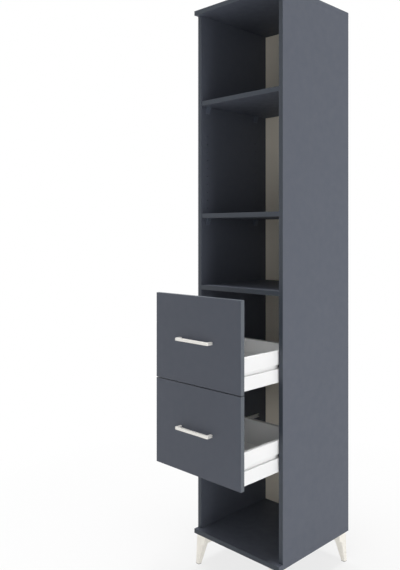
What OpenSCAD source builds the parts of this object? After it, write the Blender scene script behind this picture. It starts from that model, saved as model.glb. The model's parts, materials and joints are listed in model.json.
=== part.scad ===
// Tall storage cabinet with two roller drawers, open shelves and tapered legs.
// Millimetres, floor at Z = 0, front towards -Y, drawers drawn pulled out.

/* [Body] */
// Height from the floor to the top face
body_h = 2200; // [2100:1:2400]
// Width of the top and bottom panels
body_w = 425; // [400:1:600]
// Depth of the top and bottom panels
body_d = 450; // [440:1:560]
// Thickness of the carcass boards and drawer fronts
board_t = 18; // [17:0.5:19]
// Thickness of the back panel
back_t = 3; // [2.5:0.1:4]
// Distance from the rear edge to the back face of the back panel
back_set = 20; // [14:1:30]
// Depth of the groove that holds the back panel
groove_d = 6; // [4:0.5:8]
// Radius of the banded board edges
edge_r = 0.8; // [0.4:0.1:1.5]

/* [Shelves] */
// Height of the top face of the fixed shelf
fixed_z = 1108.5; // [1100:0.5:1160]
// Pitch of the rows of support holes
hole_pitch = 32; // [30:1:34]
// Diameter of a support hole
hole_d = 5; // [4.5:0.1:6]
// Depth of a support hole
hole_deep = 10; // [9:0.5:12]
// Distance of the front row from the front edge of the side panels
row_front = 35.5; // [30:0.5:45]
// Distance between the front and rear rows
row_gap = 298; // [280:1:300]
// Height of the pins that carry the lower loose shelf
pin_z = 1351.2; // [1345:0.2:1370]
// Number of pitches from the lower shelf to the upper shelf
shelf_steps = 14; // [12:1:15]
// Distance from a support pin up to the shelf
pin_drop = 24; // [20:0.5:26]
// Setback of the loose shelves from the front edge of the side panels
shelf_set = 2; // [1:0.5:10]
// Reach of a shelf support under its shelf
support_out = 12; // [10:0.5:14]
// Width of a shelf support
support_w = 20; // [16:1:24]

/* [Drawer fronts] */
// Height of a drawer front
front_h = 316; // [300:1:318]
// Distance that the drawers are pulled out
open_d = 202; // [0:1:245]
// Air gap between the closed fronts and the carcass
front_gap = 3; // [2.5:0.1:4]
// Gap between the two fronts
split_gap = 3; // [2:0.5:5]
// Cover of the upper front over the edge of the fixed shelf
front_cover = 2.5; // [1:0.5:6]
// Setback of the fronts from the outer faces of the carcass
front_in = 2; // [1:0.5:4]

/* [Drawer box] */
// Length of the metal drawer sides
side_l = 350; // [330:1:352]
// Height of the metal drawer sides
side_h = 113.5; // [108:0.5:126]
// Height of the drawer sides above the lower edge of the front
side_up = 5; // [3:0.5:10]
// Overall thickness of a drawer side
side_t = 13; // [12.6:0.1:15]
// Air gap between a drawer side and the carcass
side_gap = 2.5; // [2:0.1:3]
// Thickness of the bent steel sheet
sheet_t = 1.2; // [1:0.05:1.25]
// Height of the lower edge of the running channel in a drawer side
channel_up = 49; // [45:0.1:53]
// Clear height of the running channel
channel_h = 14.9; // [14.6:0.1:16]
// Depth of the running channel
channel_d = 10; // [9.8:0.1:10.2]
// Distance from the front to the first pressed stud in the channel
stud_y = 66; // [50:1:80]
// Distance between the two pressed studs
stud_gap = 25; // [20:1:40]
// Width of the flange under the drawer base
flange_w = 14; // [12:0.5:20]
// Thickness of the drawer base and drawer back boards
box_t = 16; // [15:0.5:18]
// Drop of the drawer back below the top of the drawer sides
back_drop = 0.5; // [0:0.5:8]

/* [Rails and rollers] */
// Length of a cabinet rail
rail_l = 348; // [340:1:352]
// Distance of the rail from the front edge of the side panels
rail_in = 2; // [2:0.5:4]
// Width of the rail flanges
rail_w = 9.5; // [9:0.1:9.7]
// Air gap above and below a rail inside the channel
rail_gap = 0.45; // [0.4:0.05:0.5]
// Air gap between a roller and the face that it runs on
roller_gap = 0.3; // [0.2:0.05:0.35]
// Diameter of the roller pins
axle_d = 5; // [4.5:0.1:5.2]
// Radial running clearance of a roller on its pin
axle_gap = 0.05; // [0.02:0.01:0.08]

/* [Handles] */
// Overall length of a handle
handle_l = 162; // [140:1:200]
// Reach of a handle in front of the drawer front
handle_out = 26; // [22:1:40]
// Side of the square handle bar
handle_t = 10; // [8:0.5:14]
// Radius of the outer bends of a handle
handle_r = 2.5; // [1:0.5:5]

/* [Legs] */
// Height of the legs with their glides
leg_h = 120; // [100:1:140]
// Width of a leg under its head
leg_top = 33; // [31:0.5:34]
// Width of a leg at the foot
leg_foot = 17; // [16:0.5:22]
// Height of the square head that a leg ends in
head_h = 36; // [32:0.5:40]
// Side of the head at its top
flange_s = 46; // [45:0.5:46]
// Setback of the leg top from the edges of the bottom panel
leg_in = 7.5; // [6:0.5:12]
// Outward lean of a leg from its top to its foot
leg_lean = 3.25; // [1:0.25:5]

/* [Hidden] */
$fn = 48;
// Radial clearance of a pin or screw in its hole
fit = 0.05;
// Overrun of a cut past the face that it opens
eps = 0.5;
// Air between pieces that are fitted together
seat = 0.3;
// Overlap of two shapes that form one solid
touch = 0.01;

// Places that follow from the sizes above
overhang = board_t + front_gap;
side_d = body_d - overhang;
edge_y = (overhang + open_d + handle_out - side_d) / 2;
rear_y = edge_y + side_d;
lip_y = edge_y - overhang;
inner_x = body_w / 2 - board_t;
floor_z = leg_h + board_t;
ceil_z = body_h - board_t;
panel_y = rear_y - back_set - back_t;
groove_w = back_t + seat;
shelf_low = pin_z + pin_drop;
shelf_high = shelf_low + shelf_steps * hole_pitch;
rows = [row_front, row_front + row_gap];
shelf_air = 2;
free_first = 2;
free_last = shelf_steps - 3;

// Drawer places
front_w = body_w - 2 * front_in;
upper_z = fixed_z - board_t + front_cover - front_h;
lower_z = upper_z - split_gap - front_h;
front_y = lip_y - open_d;
box_y = front_y + board_t;
box_end = box_y + side_l;
drawer_z = [lower_z, upper_z];
side_in = side_gap + side_t;
channel_x = side_gap + channel_d;
channel_mid = side_up + channel_up + channel_h / 2;
base_in = side_in + seat;
bend_r = 0.4;
bend_steps = 3;
tab_w = 20;
stud_d = 6.5;
stud_h = 0.6;
tab_low = 24;
tab_high = 12;
back_top = side_h - back_drop;

// Rails and rollers
rail_h = channel_h - 2 * rail_gap;
rail_room = rail_h - 2 * sheet_t;
rail_y = edge_y + rail_in;
nose_l = 18;
nose_y = rail_y + nose_l / 2;
roller_play = 0.5;
rail_roller_d = channel_h - 2 * roller_gap - roller_play;
rail_roller_z = channel_mid + channel_h / 2 - roller_gap - rail_roller_d / 2;
rail_roller_x = sheet_t + 1;
rail_roller_w = 6.5;
box_roller_d = rail_room - 2 * roller_gap;
box_roller_x = sheet_t + 2;
box_roller_w = 5.4;
box_roller_in = 12;
head_t = 0.8;
head_d = 7.5;
collar_d = 7;
slack = 0.1;
stop_y = 68;
stop_l = 7;
stop_h = 1.6;
end_stop_l = 4;
end_stop_h = 3;

// Screws, dowels and cam fittings
wood_d = 3.9;
wood_l = 12;
wood_head = 6.4;
wood_head_t = 1.8;
sink_d = 7.2;
sink_l = 1.8;
rail_screws_at = [37, 165, 293];
base_screws_at = [40, 170, 300];
back_screws_at = [38, 92];
bolt_d = 7;
bolt_core = 5;
bolt_head = 10;
bolt_head_t = 3;
bolt_l = 50;
hex_d = 4.6;
bolt_front = 45;
bolt_back = 60;
bolts_at = [bolt_front, side_d - bolt_back];
dowel_d = 8;
dowel_l = 30;
dowel_in = 11;
dowel_front = 95;
dowel_back = 110;
dowels_at = [dowel_front, side_d - dowel_back];
cam_d = 15;
cam_h = 12.5;
cam_in = 34;
cam_pin_d = 5;
cam_pin_in = 10;
cam_head_d = 7;
cam_head_l = 3;
cams_at = [60, 340];
shelf_dowels_at = [100, 300];
handle_screw_d = 4;
handle_screw_in = 14;
handle_gap = handle_l - handle_t;
bumper_d = 8;
bumper_in = 12;

// Leg details
glide_t = 2;
flange_t = 3;
leg_wall = 2;
bore_air = 0.2;
leg_floor = 6;
spigot_d = 8;
spigot_l = 5;
screw_edge = 7;
screw_in = flange_s - screw_edge;
screw_side = 12.5;
leg_screws_at = [[screw_in, screw_in], [screw_in, screw_side], [screw_side, screw_in]];
leg_edge_r = 2.5;
head_draft = 2;
head_fillet = 4;
head_bend = 5;
pocket_l = head_h + 2;

// Front bracket details
bracket_t = 1.5;
bracket_l = 45;
bracket_x = side_gap + sheet_t;
bracket_w = side_t - 2 * sheet_t - seat;
bracket_hole = 4;
bracket_end = 10;
low_air = 3;
high_air = 2;
hollow_low = [low_air, channel_up - sheet_t - low_air];
hollow_high = [channel_up + channel_h + sheet_t + high_air, side_h - sheet_t - high_air];

/* [Output] */
// Sub-part to draw

// Unit vector from one point to the next
function dir(a, b) = (b - a) / norm(b - a);

// Left-hand normal of a direction
function normal(v) = [-v[1], v[0]];

// Points beside a bent path, on one face of the sheet
function beside(path, off) = [
    for (i = [0 : len(path) - 1])
        let (
            before = i > 0 ? dir(path[i - 1], path[i]) : dir(path[0], path[1]),
            after = i < len(path) - 1 ? dir(path[i], path[i + 1]) : before,
            a = normal(before),
            b = normal(after)
        )
        path[i] + off * (a + b) / (1 + a * b)
];

// Corner points of one bend, rounded in short steps
function bend(a, b, c, r, n) =
    let (
        u = dir(b, a),
        v = dir(b, c),
        mid = b + r * (u + v)
    )
    [for (k = [0 : n]) mid - r * (v * cos(90 * k / n) + u * sin(90 * k / n))];

// One face of the sheet with every bend rounded
function face_line(pts, radii, n) = [
    for (i = [0 : len(pts) - 1])
        let (inside = i > 0 && i < len(pts) - 1)
        each (inside ? bend(pts[i - 1], pts[i], pts[i + 1], radii[i], n) : [pts[i]])
];

// Side of a bend: 1 where the path turns left, -1 where it turns right
function turn(path, i) =
    let (
        u = path[i] - path[i - 1],
        v = path[i + 1] - path[i]
    )
    sign(u[0] * v[1] - u[1] * v[0]);

// Bend radii on the face at the given side
function bend_radii(path, side, tight, wide) = [
    for (i = [0 : len(path) - 1])
        i == 0 || i == len(path) - 1 ? 0 : turn(path, i) == side ? tight : wide
];

// Outline of a bent sheet along a path of straight runs at right angles
function sheet_outline(path, t, tight, n) =
    let (
        one = face_line(beside(path, t / 2), bend_radii(path, 1, tight, tight + t), n),
        two = face_line(beside(path, -t / 2), bend_radii(path, -1, tight, tight + t), n)
    )
    concat(one, [for (i = [len(two) - 1 : -1 : 0]) two[i]]);

// Points of a rectangle with its corners rounded by the radii r, counted round from the low corner
function soft_rect(a, b, r) =
    let (
        c = [a, [b[0], a[1]], b, [a[0], b[1]]],
        n = 4
    )
    [
        for (i = [0 : 3])
            each (r[i] > 0 ? bend(c[(i + 3) % 4], c[i], c[(i + 1) % 4], r[i], n) : [c[i]])
    ];

// Square ring of points at one height of a leg, with corners of radius r
function ring(z, off, s, r) = [
    for (p = soft_rect([off, off], [off + s, off + s], [r, r, r, r]))
        [p[0], p[1], z]
];

// Round bar along X
module rod_x(d, l) {
    rotate([0, 90, 0])
        cylinder(d = d, h = l);
}

// Round bar along Y
module rod_y(d, l) {
    rotate([-90, 0, 0])
        cylinder(d = d, h = l);
}

// Cone along X
module cone_x(d1, d2, l) {
    rotate([0, 90, 0])
        cylinder(d1 = d1, d2 = d2, h = l);
}

// Bent sheet drawn in X and Z and run along Y
module sheet_run(path, l) {
    translate([0, l, 0])
        rotate([90, 0, 0])
            linear_extrude(height = l)
                polygon(sheet_outline(path, sheet_t, bend_r, bend_steps));
}

// Board with its front edge rounded, and its rear and side edges where asked
module board(low, high, rear_r, side_r) {
    intersection() {
        translate([low[0], 0, 0])
            rotate([90, 0, 90])
                linear_extrude(height = high[0] - low[0])
                    polygon(soft_rect(
                        [low[1], low[2]],
                        [high[1], high[2]],
                        [edge_r, rear_r, rear_r, edge_r]
                    ));
        translate([0, high[1], 0])
            rotate([90, 0, 0])
                linear_extrude(height = high[1] - low[1])
                    polygon(soft_rect(
                        [low[0], low[2]],
                        [high[0], high[2]],
                        [side_r, side_r, side_r, side_r]
                    ));
    }
}

// Child drawn from the inner face of the left side panel, s = 1 turns it to the right
module at_side(s) {
    if (s > 0)
        mirror([1, 0, 0])
            translate([-inner_x, 0, 0])
                children();
    else
        translate([-inner_x, 0, 0])
            children();
}

// Child drawn from the outer front corner of the bottom panel and turned to each corner
module at_corner(sx, sy) {
    translate([0, (lip_y + rear_y) / 2, 0])
        mirror([sx > 0 ? 1 : 0, 0, 0])
            mirror([0, sy > 0 ? 1 : 0, 0])
                translate([-body_w / 2, -body_d / 2, 0])
                    children();
}

// Shapes used both as holes and as fasteners, g is the radial clearance

module panel_bolt(g) {
    cylinder(d = bolt_core + 2 * g, h = bolt_l + 2 * g);
    cylinder(d = bolt_d + 2 * g, h = board_t);
    cylinder(d1 = bolt_head + 2 * g, d2 = bolt_d + 2 * g, h = bolt_head_t);
}

module panel_bolts(g) {
    for (s = [-1, 1])
        for (y = bolts_at) {
            translate([s * (inner_x + board_t / 2), edge_y + y, leg_h])
                panel_bolt(g);
            translate([s * (inner_x + board_t / 2), edge_y + y, body_h])
                mirror([0, 0, 1])
                    panel_bolt(g);
        }
}

module panel_dowels(g, play) {
    for (s = [-1, 1])
        for (y = dowels_at)
            for (z = [floor_z - dowel_in, ceil_z + dowel_in - dowel_l])
                translate([s * (inner_x + board_t / 2), edge_y + y, z - play])
                    cylinder(d = dowel_d + 2 * g, h = dowel_l + 2 * play);
}

module shelf_dowels(g, play) {
    for (s = [-1, 1])
        at_side(s)
            for (y = shelf_dowels_at)
                translate([-dowel_in - play, edge_y + y, fixed_z - board_t / 2])
                    rod_x(dowel_d + 2 * g, dowel_l + 2 * play);
}

module cam_pins(g, play) {
    for (s = [-1, 1])
        at_side(s)
            for (y = cams_at)
                translate([-cam_pin_in - play, edge_y + y, fixed_z - board_t / 2])
                    rod_x(cam_pin_d + 2 * g, cam_pin_in + play + cam_in + 2 * eps);
}

module cam_heads(g) {
    for (s = [-1, 1])
        at_side(s)
            for (y = cams_at)
                translate([cam_in - cam_head_l - g, edge_y + y, fixed_z - board_t / 2])
                    rod_x(cam_head_d + 2 * g, cam_head_l + 2 * g);
}

module cam_pockets(g) {
    for (s = [-1, 1])
        at_side(s)
            for (y = cams_at)
                translate([cam_in, edge_y + y, fixed_z - board_t - g])
                    cylinder(d = cam_d + 2 * g, h = cam_h + 2 * g);
}

module leg_fixings(g) {
    for (sx = [-1, 1])
        for (sy = [-1, 1])
            at_corner(sx, sy)
                for (p = leg_screws_at)
                    translate([leg_in + p[0], leg_in + p[1], leg_h - flange_t])
                        cylinder(d = wood_d + 2 * g, h = flange_t + wood_l + g);
}

// Screw through the rail web into the side panel, head flush with the web
module rail_screw(g) {
    translate([sheet_t - sink_l - g, 0, 0])
        cone_x(wood_d + 2 * g, sink_d + 2 * g, sink_l + g);
    translate([-wood_l - g, 0, 0])
        rod_x(wood_d + 2 * g, wood_l + sheet_t - sink_l + g + touch);
}

module rail_fixings(g, z) {
    for (y = rail_screws_at)
        translate([0, edge_y + y, z + channel_mid])
            rail_screw(g);
}

// Carcass boards

module side_panel(s) {
    difference() {
        at_side(s)
            translate([0, 0, floor_z])
                linear_extrude(height = ceil_z - floor_z)
                    polygon(soft_rect(
                        [-board_t, edge_y],
                        [0, rear_y],
                        [edge_r, edge_r, 0, 0]
                    ));
        at_side(s)
            translate([-groove_d, panel_y, floor_z - eps])
                cube([groove_d + eps, groove_w, ceil_z - floor_z + 2 * eps]);
        at_side(s)
            for (y = rows)
                for (k = [free_first : free_last])
                    translate([-hole_deep, edge_y + y, pin_z + k * hole_pitch])
                        rod_x(hole_d, hole_deep + eps);
        at_side(s)
            for (y = rows)
                for (k = [0, shelf_steps])
                    translate([-hole_deep, edge_y + y, pin_z + k * hole_pitch])
                        rod_x(hole_d, hole_deep + eps);
        at_side(s)
            for (z = drawer_z)
                rail_fixings(fit, z);
        panel_bolts(fit);
        panel_dowels(fit, eps);
        shelf_dowels(fit, eps);
        cam_pins(fit, eps);
    }
}

module side_left() {
    color("dimgray")
        side_panel(-1);
}

module side_right() {
    color("dimgray")
        side_panel(1);
}

module top_panel() {
    color("dimgray")
        difference() {
            board([-body_w / 2, lip_y, ceil_z], [body_w / 2, rear_y, body_h], edge_r, edge_r);
            translate([-inner_x - groove_d, panel_y, ceil_z - eps])
                cube([2 * inner_x + 2 * groove_d, groove_w, groove_d + eps]);
            panel_bolts(fit);
            panel_dowels(fit, eps);
        }
}

module bottom_panel() {
    color("dimgray")
        difference() {
            board([-body_w / 2, lip_y, leg_h], [body_w / 2, rear_y, floor_z], edge_r, edge_r);
            translate([-inner_x - groove_d, panel_y, floor_z - groove_d])
                cube([2 * inner_x + 2 * groove_d, groove_w, groove_d + eps]);
            panel_bolts(fit);
            panel_dowels(fit, eps);
            leg_fixings(fit);
        }
}

module fixed_shelf() {
    color("dimgray")
        difference() {
            board([-inner_x, edge_y, fixed_z - board_t], [inner_x, panel_y - seat, fixed_z], 0, 0);
            shelf_dowels(fit, eps);
            cam_pins(fit, eps);
            cam_pockets(fit);
        }
}

module loose_shelf(z) {
    side = inner_x - eps;
    board([-side, edge_y + shelf_set, z], [side, panel_y - shelf_air, z + board_t], edge_r, 0);
}

module shelf_upper() {
    color("dimgray")
        loose_shelf(shelf_high);
}

module shelf_lower() {
    color("dimgray")
        loose_shelf(shelf_low);
}

module back_panel() {
    play = groove_d - eps;
    color("antiquewhite")
        translate([-inner_x - play, panel_y, floor_z - play])
            cube([2 * inner_x + 2 * play, back_t, ceil_z - floor_z + 2 * play]);
}

// Wedge-shaped shelf support with its pin
module support() {
    toe = 3;
    tall = pin_drop + 4;
    lip = 2.5;
    knee = 7;
    slope = 2;
    pin_air = 1;
    translate([0, support_w / 2, 0])
        rotate([90, 0, 0])
            linear_extrude(height = support_w)
                polygon([
                    [0, 0],
                    [support_out, 0],
                    [support_out, -lip],
                    [toe + slope, knee - tall],
                    [toe, -tall],
                    [0, -tall]
                ]);
    translate([pin_air - hole_deep, 0, -pin_drop])
        rod_x(hole_d - 2 * fit, hole_deep);
}

module supports(z) {
    for (s = [-1, 1])
        at_side(s)
            for (y = rows)
                translate([0, edge_y + y, z])
                    support();
}

module shelf_supports_upper() {
    color("dimgray")
        supports(shelf_high);
}

module shelf_supports_lower() {
    color("dimgray")
        supports(shelf_low);
}

// Carcass fittings

module dowels() {
    color("burlywood") {
        panel_dowels(0, 0);
        shelf_dowels(0, 0);
    }
}

module panel_screws() {
    color("silver")
        difference() {
            panel_bolts(0);
            for (s = [-1, 1])
                for (y = bolts_at)
                    for (z = [leg_h - eps, body_h - bolt_head_t])
                        translate([s * (inner_x + board_t / 2), edge_y + y, z])
                            cylinder(d = hex_d, h = bolt_head_t + eps, $fn = 6);
        }
}

module cam_locks() {
    cut_w = 1.4;
    cut_l = 8;
    cut_deep = 2;
    color("silver")
        difference() {
            cam_pockets(0);
            cam_pins(fit, eps);
            cam_heads(fit);
            for (s = [-1, 1])
                at_side(s)
                    for (y = cams_at)
                        translate([cam_in, edge_y + y, fixed_z - board_t + cut_deep / 2])
                            for (a = [0, 90])
                                rotate([0, 0, a])
                                    cube([cut_l, cut_w, cut_deep + eps], center = true);
        }
}

module cam_bolts() {
    color("silver")
        for (s = [-1, 1])
            at_side(s)
                for (y = cams_at)
                    translate([-cam_pin_in, edge_y + y, fixed_z - board_t / 2]) {
                        rod_x(cam_pin_d, cam_pin_in + cam_in);
                        translate([cam_pin_in + cam_in - cam_head_l, 0, 0])
                            rod_x(cam_head_d, cam_head_l);
                    }
}

// Legs

// Solid between rings that have equally many points
module ring_solid(rings) {
    n = len(rings);
    m = len(rings[0]);
    polyhedron(
        points = [for (r = rings) each r],
        faces = concat(
            [[for (j = [0 : m - 1]) j]],
            [for (k = [0 : n - 2]) for (j = [0 : m - 1])
                [m * k + j, m * (k + 1) + j, m * (k + 1) + (j + 1) % m, m * k + (j + 1) % m]],
            [[for (j = [1 : m]) m * n - j]]
        )
    );
}

// Hollow tapered leg that opens into a square head with pockets for its screws
module leg(sx, sy) {
    foot_in = leg_in - leg_lean;
    body_z = leg_h - flange_t;
    neck_z = leg_h - head_h;
    neck_in = leg_in - leg_lean * head_h / leg_h;
    head_in = neck_in + leg_lean * head_fillet / leg_h;
    head_w = flange_s - head_draft;
    bore_in = foot_in + leg_wall + bore_air;
    color("tan")
        at_corner(sx, sy)
            difference() {
                ring_solid([
                    ring(glide_t, foot_in, leg_foot, leg_edge_r),
                    ring(neck_z, neck_in, leg_top, leg_edge_r),
                    ring(neck_z + head_fillet / 3, neck_in, leg_top + head_bend, leg_edge_r),
                    ring(neck_z + head_fillet, head_in, head_w, leg_edge_r),
                    ring(body_z, leg_in, flange_s, leg_edge_r),
                    ring(leg_h, leg_in, flange_s, leg_edge_r)
                ]);
                ring_solid([
                    ring(glide_t + leg_floor, bore_in, leg_foot - 2 * (leg_wall + bore_air), 0),
                    ring(neck_z, neck_in + leg_wall, leg_top - 2 * leg_wall, 0),
                    ring(leg_h + eps, leg_in + leg_wall, leg_top - 2 * leg_wall, 0)
                ]);
                translate([foot_in + leg_foot / 2, foot_in + leg_foot / 2, glide_t - eps])
                    cylinder(d = spigot_d, h = leg_floor + 2 * eps);
                for (p = leg_screws_at)
                    translate([leg_in + p[0], leg_in + p[1], body_z - pocket_l]) {
                        cylinder(d = wood_d + 2 * fit, h = pocket_l + flange_t + eps);
                        cylinder(d = wood_head + 2 * seat, h = pocket_l);
                    }
            }
}

module leg_front_left() {
    leg(-1, -1);
}

module leg_front_right() {
    leg(1, -1);
}

module leg_back_left() {
    leg(-1, 1);
}

module leg_back_right() {
    leg(1, 1);
}

module leg_glides() {
    edge = 0.3;
    off = leg_in - leg_lean + edge;
    color("gray")
        for (sx = [-1, 1])
            for (sy = [-1, 1])
                at_corner(sx, sy) {
                    linear_extrude(height = glide_t)
                        polygon([
                            for (p = ring(0, off, leg_foot - 2 * edge, leg_edge_r - edge))
                                [p[0], p[1]]
                        ]);
                    translate([off - edge + leg_foot / 2, off - edge + leg_foot / 2, glide_t - eps])
                        cylinder(d = spigot_d - 2 * fit, h = spigot_l + eps);
                }
}

module leg_screws() {
    color("silver") {
        leg_fixings(0);
        for (sx = [-1, 1])
            for (sy = [-1, 1])
                at_corner(sx, sy)
                    for (p = leg_screws_at)
                        translate([leg_in + p[0], leg_in + p[1], leg_h - flange_t - wood_head_t])
                            cylinder(d = wood_head, h = wood_head_t);
    }
}

// Cabinet rails and their rollers

module rail(s, z) {
    path = [
        [rail_w, -rail_h / 2 + sheet_t / 2],
        [sheet_t / 2, -rail_h / 2 + sheet_t / 2],
        [sheet_t / 2, rail_h / 2 - sheet_t / 2],
        [rail_w, rail_h / 2 - sheet_t / 2]
    ];
    color("white")
        at_side(s)
            difference() {
                translate([0, rail_y, z + channel_mid]) {
                    sheet_run(path, rail_l);
                    translate([rail_w / 2, stop_y, rail_room / 2 - stop_h])
                        cube([rail_w / 2 - eps, stop_l, stop_h + sheet_t / 2]);
                    translate([sheet_t / 2, rail_l - end_stop_l, -rail_room / 2 - sheet_t / 2])
                        cube([rail_w - sheet_t, end_stop_l, end_stop_h + sheet_t / 2]);
                }
                translate([sheet_t, rail_y - eps, z + channel_mid - rail_h])
                    cube([rail_w, nose_l + eps, 2 * rail_h]);
                translate([-eps, nose_y, z + rail_roller_z])
                    rod_x(axle_d + 2 * fit, sheet_t + 2 * eps);
                rail_fixings(fit, z);
            }
}

module rail_lower_left() {
    rail(-1, lower_z);
}

module rail_lower_right() {
    rail(1, lower_z);
}

module rail_upper_left() {
    rail(-1, upper_z);
}

module rail_upper_right() {
    rail(1, upper_z);
}

// Wheel with a shallow dish on each face and a bore for its pin
module wheel(d, w) {
    dish = 0.4;
    rim = 0.9;
    chamfer = 0.4;
    hub_wall = 0.7;
    bore = axle_d / 2 + axle_gap;
    hub = bore + hub_wall;
    rotate([0, 90, 0])
        rotate_extrude()
            polygon([
                [bore, 0],
                [hub, 0],
                [hub + dish, dish],
                [d / 2 - rim - dish, dish],
                [d / 2 - rim, 0],
                [d / 2 - chamfer, 0],
                [d / 2, chamfer],
                [d / 2, w - chamfer],
                [d / 2 - chamfer, w],
                [d / 2 - rim, w],
                [d / 2 - rim - dish, w - dish],
                [hub + dish, w - dish],
                [hub, w],
                [bore, w]
            ]);
}

module rail_roller(s, z) {
    color("dimgray")
        at_side(s)
            translate([rail_roller_x, nose_y, z + rail_roller_z])
                wheel(rail_roller_d, rail_roller_w);
}

module rail_roller_lower_left() {
    rail_roller(-1, lower_z);
}

module rail_roller_lower_right() {
    rail_roller(1, lower_z);
}

module rail_roller_upper_left() {
    rail_roller(-1, upper_z);
}

module rail_roller_upper_right() {
    rail_roller(1, upper_z);
}

module rail_roller_pins() {
    color("silver")
        for (s = [-1, 1])
            at_side(s)
                for (z = drawer_z)
                    translate([0, nose_y, z + rail_roller_z]) {
                        rod_x(axle_d, rail_roller_x + rail_roller_w + slack + eps);
                        translate([sheet_t, 0, 0])
                            rod_x(collar_d, rail_roller_x - sheet_t - slack);
                        translate([rail_roller_x + rail_roller_w + slack, 0, 0])
                            rod_x(head_d, head_t);
                    }
}

module rail_screws() {
    cross_l = 3.6;
    cross_w = 0.9;
    cross_deep = 0.8;
    color("silver")
        for (s = [-1, 1])
            at_side(s)
                for (z = drawer_z)
                    for (y = rail_screws_at)
                        translate([0, edge_y + y, z + channel_mid])
                            difference() {
                                rail_screw(0);
                                for (a = [0, 90])
                                    translate([sheet_t, 0, 0])
                                        rotate([a, 0, 0])
                                            cube([2 * cross_deep, cross_l, cross_w], center = true);
                            }
}

// Drawers

module drawer_front(z) {
    color("dimgray")
        difference() {
            intersection() {
                translate([0, 0, z])
                    linear_extrude(height = front_h)
                        polygon(soft_rect(
                            [-front_w / 2, front_y],
                            [front_w / 2, box_y],
                            [edge_r, edge_r, edge_r, edge_r]
                        ));
                translate([-front_w / 2, 0, 0])
                    rotate([90, 0, 90])
                        linear_extrude(height = front_w)
                            polygon(soft_rect(
                                [front_y, z],
                                [box_y, z + front_h],
                                [edge_r, edge_r, edge_r, edge_r]
                            ));
            }
            handle_holes(z);
            front_fixings(z, fit, 0);
        }
}

module handle_holes(z) {
    for (s = [-1, 1])
        translate([s * handle_gap / 2, front_y - eps, z + front_h / 2])
            rod_y(handle_screw_d + 2 * fit, board_t + 2 * eps);
}

module handle(z) {
    color("lightgray")
        difference() {
            translate([0, front_y - handle_out, z + front_h / 2 - handle_t / 2])
                linear_extrude(height = handle_t)
                    difference() {
                        polygon(soft_rect(
                            [-handle_l / 2, 0],
                            [handle_l / 2, handle_out],
                            [handle_r, handle_r, 0, 0]
                        ));
                        polygon(soft_rect(
                            [handle_t - handle_l / 2, handle_t],
                            [handle_l / 2 - handle_t, handle_out + 2 * handle_t],
                            [handle_r / 2, handle_r / 2, 0, 0]
                        ));
                    }
            for (s = [-1, 1])
                translate([s * handle_gap / 2, front_y - handle_screw_in, z + front_h / 2])
                    rod_y(handle_screw_d + 2 * fit, handle_screw_in + eps);
        }
}

module handle_screws(z) {
    grip = 9;
    head = 8;
    head_l = 2.4;
    cross_l = 4.4;
    cross_w = 1;
    cross_deep = 1.2;
    color("silver")
        for (s = [-1, 1])
            translate([s * handle_gap / 2, front_y - grip, z + front_h / 2])
                difference() {
                    union() {
                        rod_y(handle_screw_d, grip + board_t + eps);
                        translate([0, grip + board_t, 0])
                            rod_y(head, head_l);
                    }
                    for (a = [0, 90])
                        translate([0, grip + board_t + head_l, 0])
                            rotate([0, a, 0])
                                cube([cross_l, 2 * cross_deep, cross_w], center = true);
                }
}

// Holes or screws through the front brackets, with heads of the given diameter
module front_fixings(z, g, head) {
    high = [hollow_high[0] + bracket_end, hollow_high[1] - bracket_end];
    low = [(hollow_low[0] + hollow_low[1]) / 2];
    for (s = [-1, 1])
        at_side(s)
            for (h = concat(high, low))
                translate([bracket_x + bracket_w - bracket_hole, box_y - wood_l - g, z + side_up + h]) {
                    rod_y(wood_d + 2 * g, wood_l + bracket_t + 2 * g);
                    if (head > 0)
                        translate([0, wood_l + bracket_t + g, 0])
                            rod_y(head, wood_head_t);
                }
}

// Bent steel drawer side with its running channel, base flange and rear tab
module drawer_side(s, z) {
    h = sheet_t / 2;
    low = channel_up - h;
    high = channel_up + channel_h + h;
    path = [
        [side_in + flange_w, h],
        [side_gap + h, h],
        [side_gap + h, low],
        [channel_x + h, low],
        [channel_x + h, high],
        [side_gap + h, high],
        [side_gap + h, side_h - h],
        [side_in - h, side_h - h],
        [side_in - h, sheet_t + seat]
    ];
    color("white")
        at_side(s)
            difference() {
                translate([0, box_y, z + side_up]) {
                    sheet_run(path, side_l);
                    translate([side_in - sheet_t / 2, side_l - sheet_t, tab_low])
                        cube([tab_w + sheet_t / 2, sheet_t, side_h - tab_low - tab_high]);
                    for (k = [0, 1])
                        translate([channel_x - stud_h, stud_y + k * stud_gap, channel_up + channel_h / 2])
                            rod_x(stud_d, stud_h + sheet_t / 2);
                }
                translate([channel_x - eps, box_end - box_roller_in, z + channel_mid])
                    rod_x(axle_d + 2 * fit, sheet_t + 2 * eps);
                for (y = base_screws_at)
                    translate([side_in + flange_w / 2, box_y + y, z + side_up - eps])
                        cylinder(d = wood_d + 2 * fit, h = sheet_t + 2 * eps);
                for (up = back_screws_at)
                    translate([side_in + tab_w / 2, box_end - sheet_t - eps, z + side_up + up])
                        rod_y(wood_d + 2 * fit, sheet_t + 2 * eps);
            }
}

module drawer_base(z) {
    color("gainsboro")
        difference() {
            translate([-inner_x + base_in, box_y, z + side_up + sheet_t])
                cube([2 * (inner_x - base_in), side_l - sheet_t, box_t]);
            base_fixings(z, fit);
        }
}

module drawer_back(z) {
    low = z + side_up + sheet_t + box_t;
    color("gainsboro")
        difference() {
            translate([-inner_x + base_in, box_end - sheet_t - box_t, low])
                cube([2 * (inner_x - base_in), box_t, back_top - sheet_t - box_t]);
            back_fixings(z, fit);
        }
}

module base_fixings(z, g) {
    for (s = [-1, 1])
        at_side(s)
            for (y = base_screws_at)
                translate([side_in + flange_w / 2, box_y + y, z + side_up - g])
                    cylinder(d = wood_d + 2 * g, h = wood_l + 2 * g);
}

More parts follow.
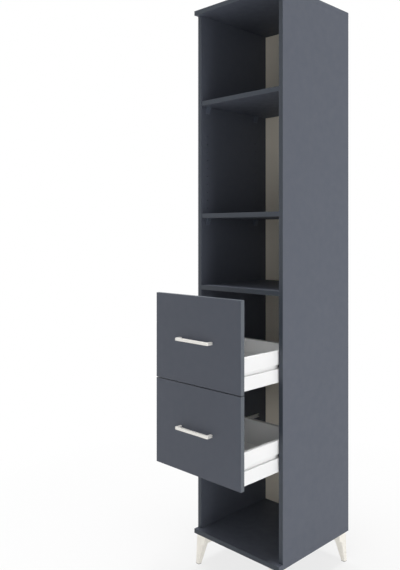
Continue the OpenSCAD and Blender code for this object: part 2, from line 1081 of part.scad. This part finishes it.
module back_fixings(z, g) {
    for (s = [-1, 1])
        at_side(s)
            for (h = back_screws_at)
                translate([side_in + tab_w / 2, box_end - wood_l - g, z + side_up + h])
                    rod_y(wood_d + 2 * g, wood_l + 2 * g);
}

module drawer_screws(z) {
    color("silver") {
        base_fixings(z, 0);
        back_fixings(z, 0);
        front_fixings(z, 0, wood_head);
        for (s = [-1, 1])
            at_side(s) {
                for (y = base_screws_at)
                    translate([side_in + flange_w / 2, box_y + y, z + side_up - wood_head_t])
                        cylinder(d = wood_head, h = wood_head_t);
                for (h = back_screws_at)
                    translate([side_in + tab_w / 2, box_end, z + side_up + h])
                        rod_y(wood_head, wood_head_t);
            }
    }
}

// Angle brackets that stand in the two hollows of a drawer side
module drawer_brackets(z) {
    color("silver")
        difference() {
            for (s = [-1, 1])
                at_side(s)
                    for (span = [hollow_low, hollow_high])
                        translate([bracket_x, box_y, z + side_up + span[0]]) {
                            cube([bracket_w, bracket_t, span[1] - span[0]]);
                            cube([bracket_t, bracket_l, span[1] - span[0]]);
                        }
            front_fixings(z, fit, 0);
        }
}

module drawer_bumpers(z) {
    color("whitesmoke")
        for (s = [-1, 1])
            for (h = [bumper_in, front_h - bumper_in - front_cover])
                translate([s * (inner_x + board_t / 2), box_y, z + h])
                    rod_y(bumper_d, front_gap - seat);
}

module drawer_roller(s, z) {
    color("dimgray")
        at_side(s)
            translate([box_roller_x, box_end - box_roller_in, z + channel_mid])
                wheel(box_roller_d, box_roller_w);
}

module drawer_roller_pins(z) {
    wide = box_roller_x + box_roller_w + slack;
    tail = 0.45;
    color("silver")
        for (s = [-1, 1])
            at_side(s)
                translate([0, box_end - box_roller_in, z + channel_mid]) {
                    translate([box_roller_x - slack - eps, 0, 0])
                        rod_x(axle_d, channel_x + sheet_t + tail - box_roller_x + slack + eps);
                    translate([box_roller_x - slack - head_t, 0, 0])
                        rod_x(head_d, head_t);
                    translate([wide, 0, 0])
                        rod_x(collar_d, channel_x - wide);
                    translate([channel_x + sheet_t, 0, 0])
                        rod_x(collar_d, tail);
                }
}

module drawer_lower_front() {
    drawer_front(lower_z);
}

module drawer_lower_handle() {
    handle(lower_z);
}

module drawer_lower_handle_screws() {
    handle_screws(lower_z);
}

module drawer_lower_side_left() {
    drawer_side(-1, lower_z);
}

module drawer_lower_side_right() {
    drawer_side(1, lower_z);
}

module drawer_lower_base() {
    drawer_base(lower_z);
}

module drawer_lower_back() {
    drawer_back(lower_z);
}

module drawer_lower_brackets() {
    drawer_brackets(lower_z);
}

module drawer_lower_screws() {
    drawer_screws(lower_z);
}

module drawer_lower_bumpers() {
    drawer_bumpers(lower_z);
}

module drawer_lower_roller_left() {
    drawer_roller(-1, lower_z);
}

module drawer_lower_roller_right() {
    drawer_roller(1, lower_z);
}

module drawer_lower_roller_pins() {
    drawer_roller_pins(lower_z);
}

module drawer_upper_front() {
    drawer_front(upper_z);
}

module drawer_upper_handle() {
    handle(upper_z);
}

module drawer_upper_handle_screws() {
    handle_screws(upper_z);
}

module drawer_upper_side_left() {
    drawer_side(-1, upper_z);
}

module drawer_upper_side_right() {
    drawer_side(1, upper_z);
}

module drawer_upper_base() {
    drawer_base(upper_z);
}

module drawer_upper_back() {
    drawer_back(upper_z);
}

module drawer_upper_brackets() {
    drawer_brackets(upper_z);
}

module drawer_upper_screws() {
    drawer_screws(upper_z);
}

module drawer_upper_bumpers() {
    drawer_bumpers(upper_z);
}

module drawer_upper_roller_left() {
    drawer_roller(-1, upper_z);
}

module drawer_upper_roller_right() {
    drawer_roller(1, upper_z);
}

module drawer_upper_roller_pins() {
    drawer_roller_pins(upper_z);
}

side_left();
side_right();
top_panel();
bottom_panel();
fixed_shelf();
shelf_upper();
shelf_lower();
back_panel();
shelf_supports_upper();
shelf_supports_lower();
dowels();
panel_screws();
cam_locks();
cam_bolts();
leg_front_left();
leg_front_right();
leg_back_left();
leg_back_right();
leg_glides();
leg_screws();
rail_lower_left();
rail_lower_right();
rail_upper_left();
rail_upper_right();
rail_roller_lower_left();
rail_roller_lower_right();
rail_roller_upper_left();
rail_roller_upper_right();
rail_roller_pins();
rail_screws();
drawer_lower_front();
drawer_lower_handle();
drawer_lower_handle_screws();
drawer_lower_side_left();
drawer_lower_side_right();
drawer_lower_base();
drawer_lower_back();
drawer_lower_brackets();
drawer_lower_screws();
drawer_lower_bumpers();
drawer_lower_roller_left();
drawer_lower_roller_right();
drawer_lower_roller_pins();
drawer_upper_front();
drawer_upper_handle();
drawer_upper_handle_screws();
drawer_upper_side_left();
drawer_upper_side_right();
drawer_upper_base();
drawer_upper_back();
drawer_upper_brackets();
drawer_upper_screws();
drawer_upper_bumpers();
drawer_upper_roller_left();
drawer_upper_roller_right();
drawer_upper_roller_pins();
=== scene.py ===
"""Tall cabinet with two drawers: finishes, dressed fittings, camera and studio."""

import math

import bmesh
import bpy
from mathutils import Matrix, Vector
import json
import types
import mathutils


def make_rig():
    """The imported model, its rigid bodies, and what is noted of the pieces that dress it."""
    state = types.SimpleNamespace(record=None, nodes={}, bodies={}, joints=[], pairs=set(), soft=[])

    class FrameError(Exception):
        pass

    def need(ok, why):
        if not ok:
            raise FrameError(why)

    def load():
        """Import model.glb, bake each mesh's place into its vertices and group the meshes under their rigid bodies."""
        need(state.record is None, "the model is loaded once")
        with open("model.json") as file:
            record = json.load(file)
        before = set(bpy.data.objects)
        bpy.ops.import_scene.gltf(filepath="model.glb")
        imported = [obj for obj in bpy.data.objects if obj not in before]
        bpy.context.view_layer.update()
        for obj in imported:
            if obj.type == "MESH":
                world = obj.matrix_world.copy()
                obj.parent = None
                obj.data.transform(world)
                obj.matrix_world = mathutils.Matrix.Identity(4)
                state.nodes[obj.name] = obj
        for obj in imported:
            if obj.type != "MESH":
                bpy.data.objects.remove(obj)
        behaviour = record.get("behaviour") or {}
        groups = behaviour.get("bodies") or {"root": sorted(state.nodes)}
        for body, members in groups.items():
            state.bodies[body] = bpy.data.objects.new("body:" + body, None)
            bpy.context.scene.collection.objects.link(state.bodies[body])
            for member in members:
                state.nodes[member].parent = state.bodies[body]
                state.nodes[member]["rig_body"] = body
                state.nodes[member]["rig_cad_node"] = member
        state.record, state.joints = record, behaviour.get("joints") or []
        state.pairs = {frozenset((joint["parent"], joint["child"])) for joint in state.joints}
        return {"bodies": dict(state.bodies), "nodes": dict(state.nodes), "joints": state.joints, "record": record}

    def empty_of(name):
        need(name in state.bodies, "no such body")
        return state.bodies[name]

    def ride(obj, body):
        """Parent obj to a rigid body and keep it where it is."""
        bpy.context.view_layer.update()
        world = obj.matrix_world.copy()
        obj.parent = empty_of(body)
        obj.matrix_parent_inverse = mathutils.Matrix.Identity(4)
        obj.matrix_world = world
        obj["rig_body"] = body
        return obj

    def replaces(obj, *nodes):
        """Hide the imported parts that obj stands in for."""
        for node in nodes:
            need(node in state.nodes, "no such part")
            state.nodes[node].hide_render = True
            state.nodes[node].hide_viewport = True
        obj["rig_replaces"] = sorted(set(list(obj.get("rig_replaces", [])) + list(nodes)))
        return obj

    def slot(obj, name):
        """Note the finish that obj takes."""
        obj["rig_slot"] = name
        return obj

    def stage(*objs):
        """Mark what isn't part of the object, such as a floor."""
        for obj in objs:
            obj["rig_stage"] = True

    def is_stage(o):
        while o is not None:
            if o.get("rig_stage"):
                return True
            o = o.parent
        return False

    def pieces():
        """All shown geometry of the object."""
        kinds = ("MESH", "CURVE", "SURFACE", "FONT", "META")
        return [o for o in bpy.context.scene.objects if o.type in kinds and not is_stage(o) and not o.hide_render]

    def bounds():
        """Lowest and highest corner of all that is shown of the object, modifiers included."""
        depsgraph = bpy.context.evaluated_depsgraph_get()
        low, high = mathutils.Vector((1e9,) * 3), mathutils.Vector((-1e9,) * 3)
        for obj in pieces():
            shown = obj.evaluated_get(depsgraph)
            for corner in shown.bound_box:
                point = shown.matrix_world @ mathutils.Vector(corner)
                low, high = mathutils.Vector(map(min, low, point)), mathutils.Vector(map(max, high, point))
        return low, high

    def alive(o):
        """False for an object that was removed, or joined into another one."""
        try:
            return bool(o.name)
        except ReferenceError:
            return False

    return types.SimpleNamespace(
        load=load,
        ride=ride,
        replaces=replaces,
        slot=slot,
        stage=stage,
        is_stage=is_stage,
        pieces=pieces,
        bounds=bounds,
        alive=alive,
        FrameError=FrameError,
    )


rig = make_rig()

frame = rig.load()
cad_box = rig.bounds()

MM = 0.001
WELD = 0.002 * MM            # vertices of a CAD copy closer than this are one
SLIVER = 0.001 * MM          # shorter edges are dropped, and a cut this near a vertex uses it
FLAT = math.radians(0.6)     # triangles that bend less than this are one face
SHARP = math.radians(50)     # edges that turn more than this are eased
BACK_MIDDLE = 317.7 * MM     # y in the middle of the back panel's thickness
FLOOR_NEAR, FLOOR_FAR = 0.35, 1.8   # metres over which the floor fades to plain white


# ---------------------------------------------------------------- camera

def place_camera():
    """Level pinhole in front of the cabinet's right corner, its picture shifted down."""
    data = bpy.data.cameras.new("camera")
    data.lens = 40.58
    data.sensor_width = 36.0
    data.shift_y = -0.0927
    data.clip_end = 60.0
    camera = bpy.data.objects.new("camera", data)
    camera.location = (1.6109, -1.9109, 1.3190)
    camera.rotation_euler = (math.radians(90), 0, math.radians(44.87))
    bpy.context.scene.collection.objects.link(camera)
    bpy.context.scene.camera = camera


# ---------------------------------------------------------------- finishes

class Finish:
    """A material's node tree, with short calls for the nodes it is made of."""

    def __init__(self, name):
        self.material = bpy.data.materials.new(name)
        self.material.use_nodes = True
        self.nodes = self.material.node_tree.nodes
        self.links = self.material.node_tree.links
        self.shader = self.nodes["Principled BSDF"]
        self.place = self.nodes.new("ShaderNodeTexCoord").outputs["Object"]

    def node(self, kind, sockets=(), **settings):
        made = self.nodes.new(kind)
        for key, value in settings.items():
            setattr(made, key, value)
        for key, value in dict(sockets).items():
            if isinstance(value, bpy.types.NodeSocket):
                self.links.new(value, made.inputs[key])
            else:
                made.inputs[key].default_value = value
        return made

    def stretched(self, scale):
        """Object coordinates, drawn out along the axes with a small scale."""
        return self.node("ShaderNodeMapping", {"Vector": self.place, "Scale": scale}).outputs["Vector"]

    def noise(self, scale, detail=3.0, where=None, rough=0.5):
        sockets = {"Vector": where or self.place, "Scale": scale, "Detail": detail, "Roughness": rough}
        return self.node("ShaderNodeTexNoise", sockets).outputs["Fac"]

    def spread(self, value, low, high, start=0.3, end=0.7):
        """Value from start to end becomes low to high."""
        sockets = {"Value": value, "From Min": start, "From Max": end, "To Min": low, "To Max": high}
        return self.node("ShaderNodeMapRange", sockets).outputs["Result"]

    def math(self, kind, a, b=0.0):
        return self.node("ShaderNodeMath", {0: a, 1: b}, operation=kind).outputs["Value"]

    def mix(self, share, one, two):
        sockets = {0: share, 6: one, 7: two}
        return self.node("ShaderNodeMix", sockets, data_type="RGBA").outputs[2]

    def shades(self, value, colour, change):
        """The colour, darker and lighter by the given share."""
        low = [c * (1 - change) for c in colour] + [1]
        high = [c * (1 + change) for c in colour] + [1]
        return self.mix(self.spread(value, 0, 1), low, high)

    def edges(self, width, start=0.02, end=0.25):
        """1 along sharp edges, 0 on flats."""
        soft = self.node("ShaderNodeBevel", {"Radius": width}, samples=4).outputs["Normal"]
        flat = self.node("ShaderNodeNewGeometry").outputs["Normal"]
        same = self.node("ShaderNodeVectorMath", {0: soft, 1: flat}, operation="DOT_PRODUCT")
        return self.spread(self.math("SUBTRACT", 1.0, same.outputs["Value"]), 0, 1, start, end)

    def bump(self, value, height, strength):
        sockets = {"Height": value, "Distance": height, "Strength": strength}
        made = self.node("ShaderNodeBump", sockets)
        self.links.new(made.outputs["Normal"], self.shader.inputs["Normal"])

    def set(self, **values):
        """Fill the shader's sockets, named with _ for a space, and give the material."""
        for key, value in values.items():
            socket = self.shader.inputs[key.replace("_", " ")]
            if isinstance(value, bpy.types.NodeSocket):
                self.links.new(value, socket)
            else:
                socket.default_value = value
        return self.material


def faced_board(name, colour, shine=0.58, pearl=0.06):
    """Melamine paper on chipboard: pearl emboss, faint clouding, rubbed edges."""
    f = Finish(name)
    cloud = f.noise(2.6, 4.0)
    grain = f.noise(850.0, 2.0)
    tone = f.mix(0.5, f.shades(cloud, colour, 0.035), f.shades(grain, colour, pearl))
    patches = f.spread(f.noise(60.0, 4.0), 0, 0.35, 0.45, 0.7)
    rub = f.math("MULTIPLY", f.edges(0.7 * MM), patches)
    worn = [min(1.0, c * 1.35 + 0.01) for c in colour] + [1]
    f.bump(grain, 0.04 * MM, 0.5)
    return f.set(
        Base_Color=f.mix(rub, tone, worn),
        Roughness=f.spread(f.noise(35.0, 5.0), shine - 0.05, shine + 0.06),
        Specular_IOR_Level=0.4,
    )


def edge_band(name, colour):
    """Plastic edge band, planed flush with the board."""
    f = Finish(name)
    streak = f.noise(420.0, 3.0, f.stretched((0.15, 1.0, 0.15)))
    patches = f.spread(f.noise(45.0, 4.0), 0, 0.4, 0.45, 0.7)
    rub = f.math("MULTIPLY", f.edges(0.8 * MM), patches)
    worn = [min(1.0, c * 1.5 + 0.012) for c in colour] + [1]
    f.bump(streak, 0.03 * MM, 0.5)
    return f.set(
        Base_Color=f.mix(rub, f.shades(streak, colour, 0.05), worn),
        Roughness=f.spread(f.noise(50.0), 0.42, 0.52),
        Specular_IOR_Level=0.35,
    )


def hardboard(name, face, raw):
    """Thin fibre board: cream lacquer in front, raw brown screen-pressed back."""
    f = Finish(name)
    depth = f.node("ShaderNodeSeparateXYZ", {"Vector": f.place}).outputs["Y"]
    behind = f.math("GREATER_THAN", depth, BACK_MIDDLE)
    fibre = f.noise(260.0, 6.0, f.stretched((1.0, 1.0, 0.35)), 0.65)
    fleck = f.noise(900.0, 2.0)
    cream = f.shades(f.noise(4.0, 3.0), face, 0.03)
    brown = f.mix(0.6, f.shades(fibre, raw, 0.22), f.shades(fleck, raw, 0.2))
    f.bump(f.mix(behind, f.noise(420.0, 2.0), fibre), 0.06 * MM, 0.6)
    coarse = f.math("ADD", f.math("MULTIPLY", behind, 0.3), fleck)
    return f.set(
        Base_Color=f.mix(behind, cream, brown),
        Roughness=f.spread(coarse, 0.45, 0.75, 0.4, 1.1),
        Specular_IOR_Level=0.3,
    )


def powder_coat(name, colour):
    """Powder coat on steel sheet: orange peel, metal dusted at the cut edges."""
    f = Finish(name)
    peel = f.noise(380.0, 2.0)
    patches = f.spread(f.noise(90.0, 4.0), 0, 0.5, 0.5, 0.75)
    rub = f.math("MULTIPLY", f.edges(0.35 * MM, 0.05, 0.4), patches)
    f.bump(peel, 0.03 * MM, 0.5)
    return f.set(
        Base_Color=f.mix(rub, f.shades(f.noise(6.0, 3.0), colour, 0.015), (0.55, 0.55, 0.54, 1)),
        Roughness=f.spread(f.noise(70.0, 3.0), 0.36, 0.46),
        Specular_IOR_Level=0.4,
    )


def brushed_metal(name, colour, lengthwise, shine, metal):
    """Satin plate with fine brushing along the given axis, polished edges."""
    f = Finish(name)
    lines = f.noise(900.0, 4.0, f.stretched(lengthwise), 0.6)
    cloud = f.noise(14.0, 3.0)
    rub = f.edges(0.8 * MM)
    bright = [min(1.0, c * 1.12) for c in colour] + [1]
    f.bump(lines, 0.03 * MM, 0.4)
    rough = f.math("ADD", f.spread(lines, -0.05, 0.05), f.spread(cloud, shine - 0.03, shine + 0.03))
    return f.set(
        Base_Color=f.mix(f.math("MULTIPLY", rub, 0.6), f.shades(lines, colour, 0.05), bright),
        Metallic=metal,
        Roughness=f.math("SUBTRACT", rough, f.math("MULTIPLY", rub, 0.08)),
    )


def plated_steel(name, colour):
    """Bright zinc plate with its uneven passivated tint."""
    f = Finish(name)
    tint = f.noise(120.0, 3.0)
    bluish = [c * keep for c, keep in zip(colour, (0.93, 0.95, 1.0))] + [1]
    tone = f.mix(f.spread(tint, 0, 1), list(colour) + [1], bluish)
    f.bump(f.noise(700.0, 2.0), 0.02 * MM, 0.5)
    return f.set(
        Base_Color=tone,
        Metallic=1.0,
        Roughness=f.spread(f.noise(200.0, 4.0), 0.24, 0.38),
    )


def moulded_plastic(name, colour, shine=0.45):
    """Spark-eroded moulding with slightly polished edges."""
    f = Finish(name)
    spark = f.noise(1400.0, 2.0)
    f.bump(spark, 0.03 * MM, 0.5)
    rub = f.math("MULTIPLY", f.edges(0.4 * MM), 0.5)
    bright = [min(1.0, c * 1.25 + 0.01) for c in colour] + [1]
    return f.set(
        Base_Color=f.mix(rub, f.shades(f.noise(40.0), colour, 0.04), bright),
        Roughness=f.spread(spark, shine - 0.05, shine + 0.07),
        Specular_IOR_Level=0.4,
    )


def turned_beech(name):
    """Fluted dowel wood: growth rings and rays along the dowel."""
    f = Finish(name)
    growth = f.noise(160.0, 5.0, f.stretched((0.2, 1.0, 0.2)), 0.6)
    ray = f.noise(900.0, 2.0, f.stretched((0.3, 1.0, 0.3)))
    tone = f.mix(f.spread(growth, 0, 1), (0.62, 0.43, 0.25, 1), (0.72, 0.53, 0.33, 1))
    f.bump(ray, 0.04 * MM, 0.6)
    return f.set(Base_Color=tone, Roughness=f.spread(ray, 0.5, 0.65))


ANTHRACITE = (0.071, 0.080, 0.104)
MELAMINE = faced_board("anthracite_melamine", ANTHRACITE)
BAND = edge_band("anthracite_edge_band", (0.040, 0.049, 0.064))
FRONT_BAND = edge_band("anthracite_front_band", (0.083, 0.095, 0.112))
CREAM_BOARD = hardboard("cream_hardboard", (0.88, 0.82, 0.70), (0.27, 0.16, 0.085))
GREY_BOARD = faced_board("light_grey_melamine", (0.85, 0.85, 0.84), 0.45, 0.02)
WHITE_COAT = powder_coat("white_powder_coat", (0.77, 0.77, 0.77))
NICKEL_BAR = brushed_metal("satin_nickel_handle", (0.89, 0.87, 0.825), (0.02, 1.0, 1.0), 0.42, 0.35)
NICKEL_LEG = brushed_metal("satin_nickel_leg", (0.90, 0.87, 0.80), (1.0, 1.0, 0.03), 0.34, 0.7)
ZINC = plated_steel("zinc_plate", (0.66, 0.67, 0.68))
# near-black roller plastic; the black also paints the deep shade inside the drawer's runner channel next to the
# cabinet's front edge
ROLLER_AND_PAINTED_SHADE = moulded_plastic("roller_plastic", (0.02, 0.02, 0.021), 0.35)
SUPPORT = moulded_plastic("dark_support_plastic", (0.080, 0.095, 0.125))
GLIDE = moulded_plastic("glide_plastic", (0.12, 0.12, 0.12), 0.6)
BUMPER = moulded_plastic("clear_bumper", (0.62, 0.62, 0.60), 0.3)
BEECH = turned_beech("beech")

SLOT_FINISH = {
    "melamine_board": MELAMINE,
    "hardboard": CREAM_BOARD,
    "drawer_board": GREY_BOARD,
    "beech": BEECH,
    "white_steel": WHITE_COAT,
    "satin_nickel": NICKEL_LEG,
    "zinc_steel": ZINC,
    "roller_plastic": ROLLER_AND_PAINTED_SHADE,
    "glide_plastic": GLIDE,
    "bumper_plastic": BUMPER,
    "support_plastic": SUPPORT,
}


# ---------------------------------------------------------------- making pieces

def node_slot(node):
    """The material slot that the record gives a node."""
    for part in frame["record"]["subparts"]:
        if part["node"] == node:
            return part["material_slot"]


def node_body(node):
    """The moving body that the record puts a node on."""
    for body, names in frame["record"]["behaviour"]["bodies"].items():
        if node in names:
            return body


def finish_piece(bm, node, suffix, materials, smooth=35.0):
    """Mesh object at the origin that takes the node's place, body and slot."""
    name = node + suffix
    mesh = bpy.data.meshes.new(name)
    bm.to_mesh(mesh)
    bm.free()
    for material in materials:
        mesh.materials.append(material)
    piece = bpy.data.objects.new(name, mesh)
    bpy.context.scene.collection.objects.link(piece)
    mesh.shade_smooth()
    mesh.set_sharp_from_angle(angle=math.radians(smooth))
    even = piece.modifiers.new("even_shading", "WEIGHTED_NORMAL")
    even.keep_sharp = True
    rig.ride(piece, node_body(node))
    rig.slot(piece, node_slot(node))
    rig.replaces(piece, node)


def solid_copy(node):
    """The node's triangles joined into closed faces again."""
    bm = bmesh.new()
    bm.from_mesh(frame["nodes"][node].data)
    bmesh.ops.remove_doubles(bm, verts=bm.verts, dist=WELD)
    bmesh.ops.dissolve_limit(
        bm, angle_limit=FLAT, use_dissolve_boundaries=False,
        verts=bm.verts, edges=bm.edges, delimit=set(),
    )
    return bm


def ease_edges(bm, ease, shortest, steps=2):
    """Round the outward edges that turn sharply and are at least so long."""
    bm.normal_update()
    sharp = [
        edge for edge in bm.edges
        if edge.is_manifold and edge.is_convex
        and edge.calc_face_angle(0.0) > SHARP
        and edge.calc_length() > shortest
    ]
    bmesh.ops.bevel(
        bm, geom=sharp, offset=ease, offset_type="OFFSET", segments=steps,
        profile=0.5, affect="EDGES", clamp_overlap=False, material=-1,
    )
    bmesh.ops.dissolve_degenerate(bm, dist=SLIVER, edges=bm.edges)


def banded_board(node):
    """Board with eased edges and the edge band on its front edge."""
    bm = solid_copy(node)
    ease_edges(bm, 0.3 * MM, 50 * MM)
    bm.normal_update()
    for face in bm.faces:
        if face.normal.y < -0.3:
            face.material_index = 1
    finish_piece(bm, node, "_faced", [MELAMINE, BAND], 30)


def banded_front(node):
    """Drawer front with bands on its four narrow sides, but not in its holes."""
    band_area = 100 * MM * MM
    bm = solid_copy(node)
    bm.normal_update()
    for face in bm.faces:
        if abs(face.normal.y) < 0.7 and face.calc_area() > band_area:
            face.material_index = 1
    finish_piece(bm, node, "_faced", [MELAMINE, FRONT_BAND], 30)


def made_copy(node, material, ease=0.0, shortest=2 * MM, steps=2):
    """Turned, bent, cast or moulded node, with rounded edges where ease is given."""
    bm = solid_copy(node)
    if ease:
        ease_edges(bm, ease, shortest, steps)
    finish_piece(bm, node, "_made", [material])


def screw_islands(bm):
    """The separate screws of one node, as lists of faces."""
    left = dict.fromkeys(bm.faces)
    while left:
        island, rim = [], [left.popitem()[0]]
        while rim:
            face = rim.pop()
            island.append(face)
            for edge in face.edges:
                for other in edge.link_faces:
                    if other in left:
                        del left[other]
                        rim.append(other)
        yield island


def cross_recess(bm, face, length, width, depth):
    """Sink a cross into a flat screw head."""
    centre = face.calc_center_bounds()
    along = face.normal.orthogonal().normalized()
    normal = face.normal.copy()
    ways = (along, normal.cross(along))
    top = [face]
    for way in ways:
        for shift in (-length / 2, -width / 2, width / 2, length / 2):
            edges = dict.fromkeys(edge for part in top for edge in part.edges)
            verts = dict.fromkeys(vert for part in top for vert in part.verts)
            cut = bmesh.ops.bisect_plane(
                bm, geom=[*top, *edges, *verts], dist=SLIVER,
                plane_co=centre + way * shift, plane_no=way,
            )
            top = [part for part in cut["geom"] if isinstance(part, bmesh.types.BMFace)]
    cross = []
    for part in top:
        out = part.calc_center_median() - centre
        reach = sorted(abs(out.dot(way)) for way in ways)
        if reach[0] < width / 2 and reach[1] < length / 2:
            cross.append(part)
    sunk = bmesh.ops.extrude_face_region(bm, geom=cross)["geom"]
    bmesh.ops.delete(bm, geom=cross, context="FACES_ONLY")
    floor = [vert for vert in sunk if isinstance(vert, bmesh.types.BMVert)]
    bmesh.ops.translate(bm, verts=floor, vec=-normal * depth)


def cross_headed(node):
    """Screws with a cross recess in each flat head."""
    length, width, depth = 3.8 * MM, 0.9 * MM, 1.1 * MM
    bm = solid_copy(node)
    bm.normal_update()
    heads = [
        max((face for face in island if len(face.verts) > 16), key=lambda face: face.calc_area())
        for island in screw_islands(bm)
    ]
    for face in heads:
        cross_recess(bm, face, length, width, depth)
    finish_piece(bm, node, "_made", [ZINC])


# ---------------------------------------------------------------- build

for node in ("side_left", "side_right", "top_panel", "bottom_panel", "fixed_shelf",
             "shelf_upper", "shelf_lower"):
    banded_board(node)
for level in ("lower", "upper"):
    banded_front("drawer_%s_front" % level)

for corner in ("front_left", "front_right", "back_left", "back_right"):
    made_copy("leg_" + corner, NICKEL_LEG, 0.6 * MM)
made_copy("leg_glides", GLIDE, 0.3 * MM)
for level in ("lower", "upper"):
    drawer = "drawer_" + level
    made_copy(drawer + "_handle", NICKEL_BAR, 0.7 * MM, 0.2 * MM, 3)
    made_copy("shelf_supports_" + level, SUPPORT, 0.5 * MM)
    made_copy(drawer + "_base", GREY_BOARD, 0.3 * MM, 20 * MM)
    made_copy(drawer + "_back", GREY_BOARD, 0.3 * MM, 20 * MM)
    made_copy(drawer + "_bumpers", BUMPER, 0.3 * MM, 0.1 * MM)
    cross_headed(drawer + "_screws")
    for side in ("left", "right"):
        made_copy("%s_side_%s" % (drawer, side), WHITE_COAT, 0.3 * MM, 0.1 * MM)
        made_copy("rail_%s_%s" % (level, side), WHITE_COAT, 0.4 * MM, 20 * MM)
        # the rollers take the near-black plastic, whose black also paints the shade in the runner channel
        made_copy("%s_roller_%s" % (drawer, side), ROLLER_AND_PAINTED_SHADE)
        made_copy("rail_roller_%s_%s" % (level, side), ROLLER_AND_PAINTED_SHADE)

for node, piece in frame["nodes"].items():
    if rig.alive(piece):
        piece.data.materials.clear()
        piece.data.materials.append(SLOT_FINISH[node_slot(node)])


# ---------------------------------------------------------------- studio

def pale_floor():
    """Large floor: real shadows near the cabinet, plain white far away."""
    bm = bmesh.new()
    bmesh.ops.create_grid(bm, x_segments=1, y_segments=1, size=25.0)
    mesh = bpy.data.meshes.new("floor")
    bm.to_mesh(mesh)
    bm.free()
    floor = bpy.data.objects.new("floor", mesh)
    bpy.context.scene.collection.objects.link(floor)
    f = Finish("pale_floor")
    f.set(Base_Color=(0.82, 0.82, 0.82, 1), Roughness=0.9, Specular_IOR_Level=0.05)
    away = f.node("ShaderNodeVectorMath", {0: f.place}, operation="LENGTH").outputs["Value"]
    far = f.spread(away, 0.83, 1, FLOOR_NEAR, FLOOR_FAR)
    path = f.node("ShaderNodeLightPath")
    seen = f.math("MAXIMUM", path.outputs["Is Camera Ray"], path.outputs["Is Glossy Ray"])
    level = f.spread(away, 0.94, 1, FLOOR_NEAR, FLOOR_FAR)
    white = f.node("ShaderNodeEmission", {"Color": (1, 1, 1, 1), "Strength": level})
    share = f.math("MULTIPLY", far, seen)
    real = f.shader.outputs["BSDF"]
    mixed = f.node("ShaderNodeMixShader", {0: share, 1: real, 2: white.outputs["Emission"]})
    f.links.new(mixed.outputs["Shader"], f.nodes["Material Output"].inputs["Surface"])
    mesh.materials.append(f.material)
    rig.stage(floor)


def softbox(name, place, aim, size, power):
    """Rectangular lamp that faces a point."""
    data = bpy.data.lights.new(name, "AREA")
    data.shape = "RECTANGLE"
    data.size, data.size_y = size
    data.energy = power
    lamp = bpy.data.objects.new(name, data)
    lamp.location = place
    lamp.rotation_euler = (Vector(aim) - Vector(place)).to_track_quat("-Z", "Y").to_euler()
    bpy.context.scene.collection.objects.link(lamp)


def white_surround(fill):
    """White to the camera and in reflections, a soft fill for everything else."""
    world = bpy.data.worlds.new("white_surround")
    bpy.context.scene.world = world
    world.use_nodes = True
    nodes, links = world.node_tree.nodes, world.node_tree.links
    path = nodes.new("ShaderNodeLightPath")
    seen = path.outputs["Is Camera Ray"]
    for kind in ("Is Glossy Ray", "Is Transmission Ray"):
        most = nodes.new("ShaderNodeMath")
        most.operation = "MAXIMUM"
        links.new(seen, most.inputs[0])
        links.new(path.outputs[kind], most.inputs[1])
        seen = most.outputs[0]
    level = nodes.new("ShaderNodeMapRange")
    links.new(seen, level.inputs["Value"])
    level.inputs["To Min"].default_value = fill
    level.inputs["To Max"].default_value = 1.0
    ground = nodes["Background"]
    ground.inputs["Color"].default_value = (1, 1, 1, 1)
    links.new(level.outputs["Result"], ground.inputs["Strength"])


place_camera()
pale_floor()
white_surround(0.23)
softbox("right_softbox", (4.6, 0.4, 1.3), (0, 0.1, 1.1), (3.0, 3.0), 114)
softbox("camera_softbox", (3.6, -4.1, 1.4), (0, 0, 1.1), (2.6, 2.6), 39)
softbox("left_softbox", (-4.6, -1.5, 1.5), (0, 0, 1.1), (3.0, 3.0), 24)
softbox("overhead_softbox", (-0.1, 0.0, 5.6), (-0.1, 0.0, 0), (2.0, 2.0), 375)

bpy.context.scene.view_settings.view_transform = "Standard"

with open("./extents.json", "w") as out:
    out.write(str([[list(map(float, corner)) for corner in box] for box in (cad_box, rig.bounds())]))
